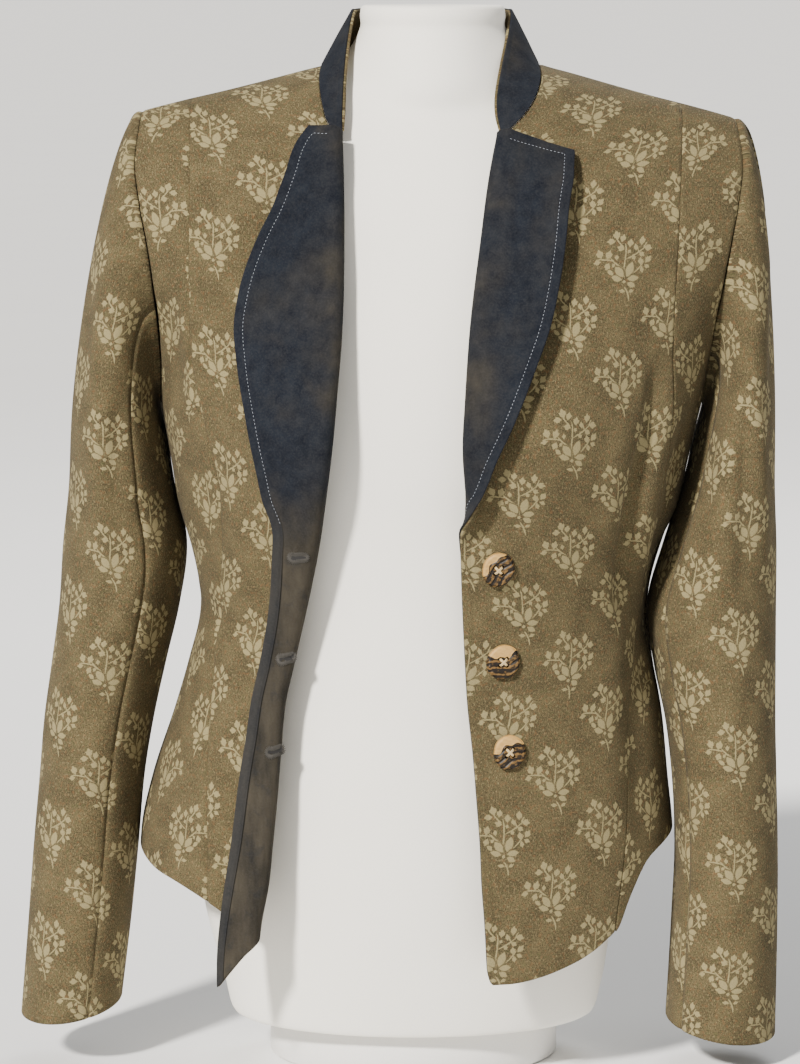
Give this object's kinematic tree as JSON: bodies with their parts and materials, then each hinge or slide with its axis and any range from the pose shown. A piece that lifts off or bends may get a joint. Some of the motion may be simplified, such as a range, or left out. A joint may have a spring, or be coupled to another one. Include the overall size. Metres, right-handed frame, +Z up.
{
  "type": "trachten jacket on a limbless dress form",
  "caption": "Short fitted jacket of patterned wool with suede stand collar, lapels and antler buttons, worn open on a white limbless dress form that stands on a low base.",
  "frame": {"origin": "centre of the bounding box at the underside of the form's base", "axes": "+Z up, +Y towards the back of the jacket, +X towards the wearer's left"},
  "size_m": [0.524, 0.2718, 0.725],
  "materials": {
    "loden_cloth": "matte",
    "navy_suede": "matte",
    "antler": "satin",
    "form_white": "matte"
  },
  "bodies": {
    "root": {"back_left": "loden_cloth", "back_right": "loden_cloth", "front_centre_left": "loden_cloth", "front_centre_right": "loden_cloth", "front_side_left": "loden_cloth", "front_side_right": "loden_cloth", "sleeve_under_left": "loden_cloth", "sleeve_under_right": "loden_cloth", "sleeve_upper_left": "loden_cloth", "sleeve_upper_right": "loden_cloth", "collar_inner": "loden_cloth", "facing_left": "navy_suede", "facing_right": "navy_suede", "collar_outer": "navy_suede", "button_1": "antler", "button_2": "antler", "button_3": "antler", "dress_form": "form_white", "form_base": "form_white"}
  },
  "joints": []
}
